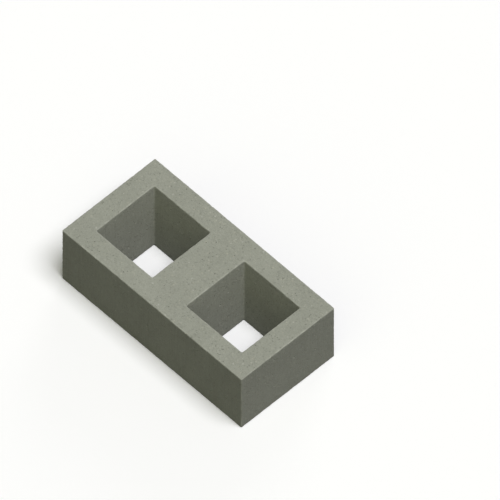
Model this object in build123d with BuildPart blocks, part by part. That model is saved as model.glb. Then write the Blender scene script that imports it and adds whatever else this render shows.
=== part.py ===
from build123d import *
from math import atan, degrees
import os

# A hollow concrete block, moulded in one piece, in millimetres.
# The origin is the centre of the underside: X along the block, Y across it, Z up.
# It lies as it leaves its mould, with the wide mouths of its square cores up.

# Overall size
length = 400.0
width = 200.0
height = 125.0

# Concrete around the core mouths, measured on the top face
face_shell = 38.0
end_wall = 38.0
web = 76.0

# Cores in a row along the block, and how far each of their walls leans in on its way down,
# so that the core formers draw out upwards
core_count = 2
core_draft = 15.5

# Roundings of the arrises, and of the corners where two core walls meet
arris_radius = 2.0
core_corner_radius = 2.0

# The core mouths fill what the walls and the web leave
core_length = (length - 2 * end_wall - (core_count - 1) * web) / core_count
core_width = width - 2 * face_shell
core_pitch = core_length + web
draft_angle = degrees(atan(core_draft / height))

with BuildPart() as block:
    # Outer form
    with BuildSketch():
        Rectangle(length, width)
    extrude(amount=height)

    # Cores, cut right through at the size of their mouths
    with BuildSketch():
        with GridLocations(core_pitch, 0, core_count, 1):
            Rectangle(core_length, core_width)
    extrude(amount=height, mode=Mode.SUBTRACT)

    # Each core wall leans about its top edge, so the core narrows towards the underside
    core_walls = block.faces(Select.LAST).filter_by(Axis.Z, reverse=True)
    draft(core_walls, Plane.XY.offset(height), draft_angle)
    sloping_edges = block.edges().filter_by(Axis.Z, reverse=True).filter_by(Plane.XY, reverse=True)
    fillet(sloping_edges, core_corner_radius)

    # Arrises: the four upright corners, and every edge of the top face and the underside
    by_height = block.edges().group_by(Axis.Z)
    upright_corners = block.edges().filter_by(Axis.Z)
    fillet(upright_corners + by_height[0] + by_height[-1], arris_radius)

block.part.label = "block"

os.makedirs("parts", exist_ok=True)
export_step(block.part, "parts/block.step")
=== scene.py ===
from itertools import pairwise
from math import cos, pi, radians, sin, tan
from random import Random

import bmesh
import bpy
from mathutils import Matrix, Vector, noise
from mathutils.bvhtree import BVHTree


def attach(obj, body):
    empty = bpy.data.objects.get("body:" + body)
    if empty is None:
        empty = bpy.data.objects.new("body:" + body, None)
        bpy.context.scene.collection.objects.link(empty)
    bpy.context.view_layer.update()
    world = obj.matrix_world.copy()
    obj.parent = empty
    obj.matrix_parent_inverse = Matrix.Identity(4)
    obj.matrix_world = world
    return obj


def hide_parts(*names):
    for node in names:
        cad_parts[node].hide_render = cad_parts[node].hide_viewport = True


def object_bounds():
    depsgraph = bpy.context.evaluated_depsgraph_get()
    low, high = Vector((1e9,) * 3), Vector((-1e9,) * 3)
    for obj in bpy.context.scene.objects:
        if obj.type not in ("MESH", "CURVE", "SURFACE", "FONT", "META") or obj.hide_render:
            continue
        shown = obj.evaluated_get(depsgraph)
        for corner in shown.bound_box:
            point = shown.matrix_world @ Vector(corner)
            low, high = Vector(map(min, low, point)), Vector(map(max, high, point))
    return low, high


# A hollow concrete block, lying with the wide mouths of its square cores up.
# Everything is in metres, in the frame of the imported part: X along the block, Z up.
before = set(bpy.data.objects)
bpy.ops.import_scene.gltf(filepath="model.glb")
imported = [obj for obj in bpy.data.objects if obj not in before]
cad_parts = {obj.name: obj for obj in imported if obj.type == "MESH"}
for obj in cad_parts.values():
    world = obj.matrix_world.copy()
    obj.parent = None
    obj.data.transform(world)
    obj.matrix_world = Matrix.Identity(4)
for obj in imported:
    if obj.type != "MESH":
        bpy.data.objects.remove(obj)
cad_low, cad_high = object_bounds()

MM = 0.001
LENGTH, WIDTH, HEIGHT = cad_high - cad_low

# Concrete around the core mouths, and how far each core wall leans in on its way down
WALL = 38 * MM
WEB = 76 * MM
DRAFT = 15.5 * MM

# Cores: how many, the size of their mouths, and where their middles lie along the block
CORE_COUNT = 2
MOUTH_LENGTH = (LENGTH - 2 * WALL - (CORE_COUNT - 1) * WEB) / CORE_COUNT
MOUTH_WIDTH = WIDTH - 2 * WALL
CORES = [(n - (CORE_COUNT - 1) / 2) * (MOUTH_LENGTH + WEB) for n in range(CORE_COUNT)]

# Rounding of every edge, and how far in from the sharp edge a grid line lies that
# comes to a quarter of the way round it
ROUNDING = 2 * MM
ROUNDING_LINE = ROUNDING * (1 - tan(radians(22.5)))

# Side of the grid's cells on the flat faces
CELL = 2.3 * MM


# The grid of the skin

def core_half(z):
    """Half the length and half the width of a core at height z."""
    lean = DRAFT * (1 - z / HEIGHT)
    return MOUTH_LENGTH / 2 - lean, MOUTH_WIDTH / 2 - lean


def edges_along(z):
    """Where the block and its cores start and end along X, at height z."""
    half = core_half(z)[0]
    return [-LENGTH / 2, *(x + side * half for x in CORES for side in (-1, 1)), LENGTH / 2]


def edges_across(z):
    """Where the block and its cores start and end along Y, at height z."""
    half = core_half(z)[1]
    return [-WIDTH / 2, -half, half, WIDTH / 2]


def even_cells(edges):
    """How many even cells each stretch between two edges gets, beside those of its roundings."""
    return [max(1, round((end - start - 2 * ROUNDING) / CELL)) for start, end in pairwise(edges)]


def grid_lines(edges, counts):
    """Where the grid lines cross: close together at each edge, and evenly spaced between."""
    lines = [edges[0]]
    for (start, end), count in zip(pairwise(edges), counts):
        first, last = start + ROUNDING, end - ROUNDING
        lines.append(start + ROUNDING_LINE)
        lines += [first + (last - first) * n / count for n in range(count + 1)]
        lines += [end - ROUNDING_LINE, end]
    return lines


def over_core(x, y):
    """Whether a point of the top face's plane is in the mouth of a core."""
    return abs(y) < MOUTH_WIDTH / 2 and any(abs(x - core) < MOUTH_LENGTH / 2 for core in CORES)


def block_grid():
    """Points and four-sided faces of the block's skin.

    The grid is laid out on the block with sharp edges. Each point then moves to the nearest
    point of the CAD model's skin, which rounds the edges."""
    along = even_cells(edges_along(HEIGHT / 2))
    across = even_cells(edges_across(HEIGHT / 2))
    heights = grid_lines([0, HEIGHT], even_cells([0, HEIGHT]))
    rows_x = [grid_lines(edges_along(z), along) for z in heights]
    rows_y = [grid_lines(edges_across(z), across) for z in heights]
    count_x, count_y, top = len(rows_x[0]) - 1, len(rows_y[0]) - 1, len(heights) - 1
    middles_x = [(start + end) / 2 for start, end in pairwise(rows_x[top])]
    middles_y = [(start + end) / 2 for start, end in pairwise(rows_y[top])]

    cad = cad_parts["block"].data
    cad_points = [vertex.co for vertex in cad.vertices]
    skin = BVHTree.FromPolygons(cad_points, [face.vertices for face in cad.polygons])
    points, numbers, faces = [], {}, []

    def solid(i, j):
        inside = 0 <= i < count_x and 0 <= j < count_y
        return inside and not over_core(middles_x[i], middles_y[j])

    def point(i, j, k):
        if (i, j, k) not in numbers:
            numbers[i, j, k] = len(points)
            points.append(skin.find_nearest((rows_x[k][i], rows_y[k][j], heights[k]))[0])
        return numbers[i, j, k]

    for i in range(count_x):
        for j in range(count_y):
            if not solid(i, j):
                continue
            corners = [(i, j), (i + 1, j), (i + 1, j + 1), (i, j + 1)]
            faces.append([point(*corner, top) for corner in corners])
            faces.append([point(*corner, 0) for corner in reversed(corners)])
            beside = [(i, j - 1), (i + 1, j), (i, j + 1), (i - 1, j)]
            for neighbour, left, right in zip(beside, corners, corners[1:] + corners[:1]):
                if solid(*neighbour):
                    continue
                for k in range(top):
                    lower = [point(*left, k), point(*right, k)]
                    upper = [point(*right, k + 1), point(*left, k + 1)]
                    faces.append(lower + upper)
    return points, faces


# What the moulding leaves on the skin. Every depth goes into the concrete.

UNEVEN_SIZE, UNEVEN_DEPTH = 55 * MM, 0.25 * MM
GRIT_SIZE, GRIT_DEPTH = 6 * MM, 0.20 * MM
CRUMBLE_SIZE, CRUMBLE_REACH, CRUMBLE_DEPTH = 5 * MM, 4 * MM, 0.9 * MM

# Pits that air bubbles leave: how many places are drawn for them, and the seed of that draw. A
# place beside another gets no pit. The radius is a share of the room around a grid point, more
# often small than large, and strays on its way round the rim.
PITS_DRAWN, PIT_SEED = 420, 11
PIT_SMALLEST, PIT_LARGEST = 0.28, 0.82
PIT_UNEVEN = 0.35

# The radius and the depth of each ring of a pit, and its deepest point, as shares of its radius
PIT_RINGS = [(1.0, 0.0), (0.88, 0.50), (0.52, 0.90)]
PIT_BOTTOM = 1.0

# The area of the smallest cell that a pit is cut into, which keeps pits off the roundings
SMALLEST_CELL = 0.7 * CELL * CELL


def arris_distance(place):
    """How far a point of the skin lies from the nearest arris.

    Of the depths under the block's faces, the least is that of its own face, and the next is
    its distance from an arris."""
    half_x, half_y = core_half(place.z)
    to_core = min(max(abs(place.x - core) - half_x, abs(place.y) - half_y) for core in CORES)
    to_end, to_side = LENGTH / 2 - abs(place.x), WIDTH / 2 - abs(place.y)
    return sorted([to_end, to_side, place.z, HEIGHT - place.z, to_core])[1]


def worn_depth(place):
    """How far the skin lies under the moulded shape here."""
    uneven = UNEVEN_DEPTH * (1 + noise.noise(place / UNEVEN_SIZE)) / 2
    grit = GRIT_DEPTH * (1 + noise.noise(place / GRIT_SIZE)) / 2
    edge = max(0, 1 - arris_distance(place) / CRUMBLE_REACH)
    crumble = CRUMBLE_DEPTH * edge * max(0, noise.noise(place / CRUMBLE_SIZE))
    return uneven + grit + crumble


def smallest_face(point):
    """The area of the smallest face around a point."""
    return min(face.calc_area() for face in point.link_faces)


def pit_middles(grid):
    """Points on the flat faces that become pits, clear of each other, with the pits' radii."""
    draw = Random(PIT_SEED)
    flat = [point for point in grid.verts if smallest_face(point) > SMALLEST_CELL]
    taken, pits = set(), []
    for middle in draw.sample(flat, PITS_DRAWN):
        around = {corner for face in middle.link_faces for corner in face.verts}
        room = min(edge.calc_length() for edge in middle.link_edges)
        share = PIT_SMALLEST + (PIT_LARGEST - PIT_SMALLEST) * draw.random() ** 2
        if taken.isdisjoint(around):
            taken |= around
            pits.append((middle, room * share))
    return pits


def cut_pits(mesh):
    """Opens a bowl in the four faces around each chosen point, ring by ring, with a sharp rim."""
    grid = bmesh.new()
    grid.from_mesh(mesh)
    pits = [(middle, radius, -middle.normal.copy()) for middle, radius in pit_middles(grid)]
    faces = [face for middle, _, _ in pits for face in middle.link_faces]
    for reach, depth in PIT_RINGS:
        bmesh.ops.inset_region(grid, faces=faces, thickness=0)
        for middle, radius, inward in pits:
            ring = {corner for face in middle.link_faces for corner in face.verts} - {middle}
            for corner in ring:
                out = corner.co - middle.co
                out = (out - out.project(inward)).normalized()
                uneven = 1 + PIT_UNEVEN * noise.noise(middle.co / MM + out)
                corner.co = middle.co + out * (radius * reach * uneven) + inward * (radius * depth)
            for face in middle.link_faces:
                for edge in face.edges:
                    edge.smooth = depth > 0 or middle in edge.verts
    for middle, radius, inward in pits:
        middle.co += inward * (radius * PIT_BOTTOM)
    grid.to_mesh(mesh)
    grid.free()


def make_block():
    """The block as one closed mesh, with its real unevenness, pits and crumbled arrises."""
    points, faces = block_grid()
    mesh = bpy.data.meshes.new("concrete_block")
    mesh.from_pydata(points, [], faces)
    mesh.shade_smooth()
    inward = [-point.normal for point in mesh.vertices]
    for point, direction in zip(mesh.vertices, inward):
        point.co += direction * worn_depth(point.co)
    cut_pits(mesh)
    arris = mesh.attributes.new("from_arris", "FLOAT", "POINT")
    arris.data.foreach_set("value", [arris_distance(point.co) for point in mesh.vertices])
    block = bpy.data.objects.new("concrete_block", mesh)
    bpy.context.scene.collection.objects.link(block)
    return block


# Shaders

class Value:
    """A number or a colour that changes over a surface. Arithmetic on numbers adds Math nodes."""

    def __init__(self, nodes, socket):
        self.nodes = nodes
        self.socket = socket

    def beside(self, name):
        """Another output of the same node."""
        return Value(self.nodes, self.socket.node.outputs[name])

    def maths(self, operation, *terms):
        """One Math node on values or numbers."""
        return self.nodes.add("ShaderNodeMath", {"operation": operation}, dict(enumerate(terms)))

    def __add__(self, other):
        return self.maths("ADD", self, other)

    __radd__ = __add__

    def __sub__(self, other):
        return self.maths("SUBTRACT", self, other)

    def __rsub__(self, other):
        return self.maths("SUBTRACT", other, self)

    def __mul__(self, other):
        return self.maths("MULTIPLY", self, other)

    __rmul__ = __mul__

    def above(self, other):
        """The larger of two numbers."""
        return self.maths("MAXIMUM", self, other)


class Nodes:
    """Adds nodes to one node tree."""

    def __init__(self, tree):
        self.tree = tree
        tree.nodes.clear()

    def add(self, kind, settings=None, inputs=None):
        """Adds a node and gives its first output.

        Its settings come first, because they can change its sockets. Its inputs, by name or by
        place, are plain values or links."""
        node = self.tree.nodes.new(kind)
        for name, value in (settings or {}).items():
            if name == "stops":
                self.set_stops(node.color_ramp, value)
            else:
                setattr(node, name, value)
        shown = [socket for socket in node.inputs if socket.enabled]
        for key, value in (inputs or {}).items():
            found = shown[key] if isinstance(key, int) else next(s for s in shown if s.name == key)
            if isinstance(value, Value):
                self.tree.links.new(value.socket, found)
            else:
                found.default_value = value
        outputs = [socket for socket in node.outputs if socket.enabled]
        return Value(self, outputs[0]) if outputs else None

    @staticmethod
    def set_stops(ramp, stops):
        """Gives a colour ramp its stops, each a position and a colour."""
        while len(ramp.elements) < len(stops):
            ramp.elements.new(1.0)
        for element, (position, colour) in zip(ramp.elements, stops):
            element.position = position
            element.color = colour

    def step(self, value, low, high):
        """0 up to low, 1 from high on, and smooth between."""
        limits = {"Value": value, "From Min": low, "From Max": high}
        return self.add("ShaderNodeMapRange", {"interpolation_type": "SMOOTHSTEP"}, limits)

    def vector(self, operation, *terms):
        """Arithmetic on places and directions."""
        return self.add("ShaderNodeVectorMath", {"operation": operation}, dict(enumerate(terms)))

    def clouds(self, place, size, detail=2.0, roughness=0.5):
        """Soft noise from 0 to 1 whose patches are about size across."""
        inputs = {"Vector": place, "Scale": 1 / size, "Detail": detail, "Roughness": roughness}
        return self.add("ShaderNodeTexNoise", {}, inputs)

    def grains(self, place, size):
        """Grains about size across: the distance to the nearest middle, as a share of size, and
        three random numbers for that grain."""
        distance = self.add("ShaderNodeTexVoronoi", {}, {"Vector": place, "Scale": 1 / size})
        first = self.add("ShaderNodeSeparateColor", {}, {"Color": distance.beside("Color")})
        return distance, first, first.beside("Green"), first.beside("Blue")

    def mix(self, share, first, second):
        """A colour between two."""
        return self.add("ShaderNodeMix", {"data_type": "RGBA"}, {"Factor": share, "A": first, "B": second})


# Colours of the cement paste between its darkest and palest, and of what shows in it: painted shade in its
# hollows, an arris partly rubbed and partly painted highlight, and grit
DARK_PASTE = (0.205, 0.212, 0.173, 1)
PALE_PASTE = (0.390, 0.400, 0.338, 1)
PORE_SHADOW = (0.100, 0.103, 0.082, 1)
RUBBED_AND_HIGHLIT_ARRIS = (0.450, 0.462, 0.395, 1)
GRAIN_COLOURS = [
    (0.00, (0.170, 0.176, 0.148, 1)),
    (0.35, (0.255, 0.262, 0.222, 1)),
    (0.65, (0.330, 0.334, 0.276, 1)),
    (0.90, (0.395, 0.386, 0.308, 1)),
    (1.00, (0.480, 0.480, 0.430, 1)),
]

# Sizes of the patches of tone and of the grains, from the largest down
MOTTLE, CLOUD, GRIT, SAND, DUST = 70 * MM, 16 * MM, 3.6 * MM, 1.5 * MM, 0.8 * MM

# Pores: how far apart they are, and the radius of the largest, as a share of that
PORE_SPACING, PORE = 4.2 * MM, 0.24

# Lines that the mould drags up the sides: how wide, and how much longer than wide
DRAG_WIDTH, DRAG_LENGTH = 2.2 * MM, 26

# From where to where a grain or a pore fades out and a gap opens, as shares of a grain's size
GRIT_RIM, SAND_RIM, GAP_RIM, PORE_RIM = (0.30, 0.55), (0.20, 0.62), (0.54, 0.74), (-0.02, 0.05)

# Which stones show, by their random number; where the paste is open between them and where
# the arris is rubbed and painted with a highlight, by the clouds; and which gaps are open, by both
GRIT_SHOWN, OPEN_PASTE, RUBBED_AND_HIGHLIT, GAP_OPEN = (0.55, 0.75), (0.42, 0.66), (0.34, 0.66), (0.80, 1.20)
GAP_CLOUD = 0.5

# How wide the pale line along an arris is, which is partly rubbed wear and partly painted highlight
ARRIS_WEAR_AND_HIGHLIGHT_LINE = (0.8 * MM, 2.6 * MM)

# The tone of the paste, from 0 at its darkest to 1 at its palest, and what each thing adds
MIDDLE_TONE = 0.49
MOTTLE_TONE, CLOUD_TONE, DUST_TONE, SAND_TONE, DRAG_TONE = 0.40, 0.30, 0.50, 0.60, 0.35

# How much of the paste's colour each thing covers
GRIT_COVER, ARRIS_WEAR_AND_HIGHLIGHT_COVER, GAP_COVER, PORE_COVER = 0.50, 0.60, 0.15, 0.60

# Roughness, how much of it changes with the dust, and how strongly the paste reflects
ROUGHNESS, ROUGHNESS_CHANGE = 0.88, 0.16
REFLECTION = 0.3

# Heights of the relief that is too fine for the mesh
GRIT_HEIGHT, SAND_HEIGHT, DUST_HEIGHT = 0.12 * MM, 0.10 * MM, 0.11 * MM
GAP_HEIGHT, PORE_HEIGHT, DRAG_HEIGHT = 0.30 * MM, 0.70 * MM, 0.10 * MM


def nudged(nodes, place, size, reach):
    """The place moved about by up to half of reach, which breaks round and straight outlines."""
    colour = nodes.clouds(place, size).beside("Color")
    return nodes.vector("MULTIPLY_ADD", colour, (reach, reach, reach), place)


def concrete():
    """Dense block concrete: sand and grit in cement paste, with gaps, faint mottling and drag lines."""
    material = bpy.data.materials.new("concrete")
    material.use_nodes = True
    nodes = Nodes(material.node_tree)
    place = nodes.add("ShaderNodeTexCoord").beside("Object")
    normal = nodes.add("ShaderNodeTexCoord").beside("Normal")
    facing_up = nodes.add("ShaderNodeSeparateXYZ", {}, {"Vector": normal}).beside("Z")
    upright = 1 - facing_up * facing_up
    bent_place = nudged(nodes, place, SAND, SAND)

    mottle = nodes.clouds(place, MOTTLE, detail=3)
    cloud = nodes.clouds(place, CLOUD, detail=3)
    dust = nodes.clouds(place, DUST, roughness=0.7)

    # Grit: one stone in three shows, and the paste is open between some of them
    grit_distance, grit_shade, grit_chance, grit_gap = nodes.grains(bent_place, GRIT)
    stone = 1 - nodes.step(grit_distance, *GRIT_RIM)
    shown_stone = stone * nodes.step(grit_chance, *GRIT_SHOWN)
    open_paste = nodes.step(cloud, *OPEN_PASTE) * GAP_CLOUD
    gap = nodes.step(grit_distance, *GAP_RIM) * nodes.step(grit_gap + open_paste, *GAP_OPEN)

    # Sand: every grain a little paler or darker than the next
    sand_distance, sand_shade, _, _ = nodes.grains(bent_place, SAND)
    sand = 1 - nodes.step(sand_distance, *SAND_RIM)

    # Pores of mixed sizes, one in each cell at most
    pore_distance, pore_size, _, _ = nodes.grains(bent_place, PORE_SPACING)
    pore = nodes.step(pore_size * pore_size * PORE - pore_distance, *PORE_RIM)

    drag_place = nodes.vector("MULTIPLY", place, (1, 1, 1 / DRAG_LENGTH))
    drag = (nodes.clouds(drag_place, DRAG_WIDTH) - 0.5) * upright

    tone = MIDDLE_TONE + (mottle - 0.5) * MOTTLE_TONE + (cloud - 0.5) * CLOUD_TONE
    tone = tone + (dust - 0.5) * DUST_TONE + (sand_shade - 0.5) * sand * SAND_TONE + drag * DRAG_TONE
    colour = nodes.mix(tone, DARK_PASTE, PALE_PASTE)
    grit_colour = nodes.add("ShaderNodeValToRGB", {"stops": GRAIN_COLOURS}, {"Fac": grit_shade})
    colour = nodes.mix(shown_stone * GRIT_COVER, colour, grit_colour)

    from_arris = nodes.add("ShaderNodeAttribute", {"attribute_name": "from_arris"}).beside("Fac")
    # The pale line along each arris is partly rubbed wear and partly a painted highlight.
    arris = (1 - nodes.step(from_arris, *ARRIS_WEAR_AND_HIGHLIGHT_LINE)) * nodes.step(cloud, *RUBBED_AND_HIGHLIT)
    colour = nodes.mix(arris * ARRIS_WEAR_AND_HIGHLIGHT_COVER, colour, RUBBED_AND_HIGHLIT_ARRIS)
    # Gaps and pores are darkened towards PORE_SHADOW: painted shade in their hollows.
    colour = nodes.mix((gap * GAP_COVER).above(pore * PORE_COVER), colour, PORE_SHADOW)

    height = stone * GRIT_HEIGHT + sand * SAND_HEIGHT + dust * DUST_HEIGHT + drag * DRAG_HEIGHT
    height = height - gap * GAP_HEIGHT - pore * PORE_HEIGHT
    bump = nodes.add("ShaderNodeBump", {}, {"Strength": 1.0, "Distance": 1.0, "Height": height})
    roughness = ROUGHNESS + (dust - 0.5) * ROUGHNESS_CHANGE

    shader = nodes.add(
        "ShaderNodeBsdfPrincipled",
        {},
        {"Base Color": colour, "Roughness": roughness, "Normal": bump, "Specular IOR Level": REFLECTION},
    )
    nodes.add("ShaderNodeOutputMaterial", {}, {"Surface": shader})
    return material


# Studio

BACKGROUND_WHITE = (1, 1, 1, 1)
FLOOR_BOUNCE = (0.10, 0.10, 0.10, 1)
FLOOR_ROUGHNESS = 0.9
FLOOR_SIZE = 12.0

# Share of the light on a level surface that comes from the sky and from each lamp. A lamp
# is turned to an azimuth, as the camera is, and stands at an elevation. The fill and the sky
# are yellowish and the key is a little bluish, so that together they light a level surface
# nearly white.
SKY_LIGHT = 0.14
SKY_COLOUR = (1.0, 1.0, 0.92, 1)
LAMPS = {
    "studio_key": {
        "share": 0.74,
        "azimuth": 90,
        "elevation": 71,
        "softness": 30,
        "colour": (1.003, 1.0, 1.035),
    },
    "studio_fill": {
        "share": 0.08,
        "azimuth": 20,
        "elevation": 45,
        "softness": 60,
        "colour": (0.95, 1.0, 0.60),
    },
    "studio_back": {
        "share": 0.04,
        "azimuth": 207,
        "elevation": 18,
        "softness": 30,
        "colour": (1.0, 1.0, 1.0),
    },
}


def seen_by_camera(nodes):
    """1 for what the camera sees, also in a reflection or through glass, and 0 for other light."""
    ray = nodes.add("ShaderNodeLightPath")
    through = ray.beside("Is Glossy Ray").above(ray.beside("Is Transmission Ray"))
    return ray.beside("Is Camera Ray").above(through)


def add_floor():
    """A level floor that looks white and sends little light back up to the block."""
    bpy.ops.mesh.primitive_plane_add(size=FLOOR_SIZE)
    floor = bpy.context.object
    floor.name = "studio_floor"
    material = bpy.data.materials.new("studio_floor")
    material.use_nodes = True
    nodes = Nodes(material.node_tree)
    colour = nodes.mix(seen_by_camera(nodes), FLOOR_BOUNCE, BACKGROUND_WHITE)
    shader = nodes.add(
        "ShaderNodeBsdfPrincipled",
        {},
        {"Base Color": colour, "Roughness": FLOOR_ROUGHNESS, "Specular IOR Level": 0.0},
    )
    nodes.add("ShaderNodeOutputMaterial", {}, {"Surface": shader})
    floor.data.materials.append(material)


def direction_from(azimuth, elevation):
    """The unit vector from the block towards a camera or a lamp. Azimuth 0 is on the side of -Y."""
    level = cos(elevation)
    return Vector((sin(azimuth) * level, -cos(azimuth) * level, sin(elevation)))


def hang_lamp(name, share, azimuth, elevation, softness, colour):
    """A soft lamp so far away that its light is parallel."""
    lamp = bpy.data.lights.new(name, "SUN")
    lamp.energy = pi * share / sin(radians(elevation))
    lamp.angle = radians(softness)
    lamp.color = colour
    towards = direction_from(radians(azimuth), radians(elevation))
    hung = bpy.data.objects.new(name, lamp)
    hung.rotation_mode = "QUATERNION"
    hung.rotation_quaternion = towards.to_track_quat("Z", "Y")
    bpy.context.scene.collection.objects.link(hung)


def light_studio():
    """A strong lamp high up on the side of +X, weak ones in front and behind, and an even sky."""
    for name, settings in LAMPS.items():
        hang_lamp(name, **settings)

    world = bpy.data.worlds.new("studio")
    bpy.context.scene.world = world
    world.use_nodes = True
    nodes = Nodes(world.node_tree)
    backdrop = nodes.add("ShaderNodeBackground", {}, {"Color": BACKGROUND_WHITE, "Strength": 1.0})
    sky = nodes.add("ShaderNodeBackground", {}, {"Color": SKY_COLOUR, "Strength": SKY_LIGHT})
    both = nodes.add("ShaderNodeMixShader", {}, {0: seen_by_camera(nodes), 1: sky, 2: backdrop})
    nodes.add("ShaderNodeOutputWorld", {}, {"Surface": both})


# Camera: a parallel view, as in the photograph. The origin pixel is where the middle of the
# block's underside lies in the picture, from its left and its top.

FRAME_PIXELS = 500
PIXELS_PER_METRE = 647.5
AZIMUTH, ELEVATION = radians(46.1), radians(53.5)
ORIGIN_PIXEL = (198.26, 317.12)
CAMERA_DISTANCE = 3.0


def add_camera():
    """Places the camera so that the block lies where the photograph has it."""
    back = direction_from(AZIMUTH, ELEVATION)
    right = Vector((cos(AZIMUTH), sin(AZIMUTH), 0))
    up = back.cross(right)
    middle = FRAME_PIXELS / 2
    aim = right * ((middle - ORIGIN_PIXEL[0]) / PIXELS_PER_METRE)
    aim += up * ((ORIGIN_PIXEL[1] - middle) / PIXELS_PER_METRE)
    lens = bpy.data.cameras.new("camera")
    lens.type = "ORTHO"
    lens.ortho_scale = FRAME_PIXELS / PIXELS_PER_METRE
    camera = bpy.data.objects.new("camera", lens)
    turn = Matrix((right, up, back)).transposed().to_4x4()
    camera.matrix_world = Matrix.Translation(aim + back * CAMERA_DISTANCE) @ turn
    bpy.context.scene.collection.objects.link(camera)
    bpy.context.scene.camera = camera


block = make_block()
block.data.materials.append(concrete())
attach(block, "root")
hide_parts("block")

add_floor()
light_studio()
add_camera()
bpy.context.scene.view_settings.view_transform = "Standard"
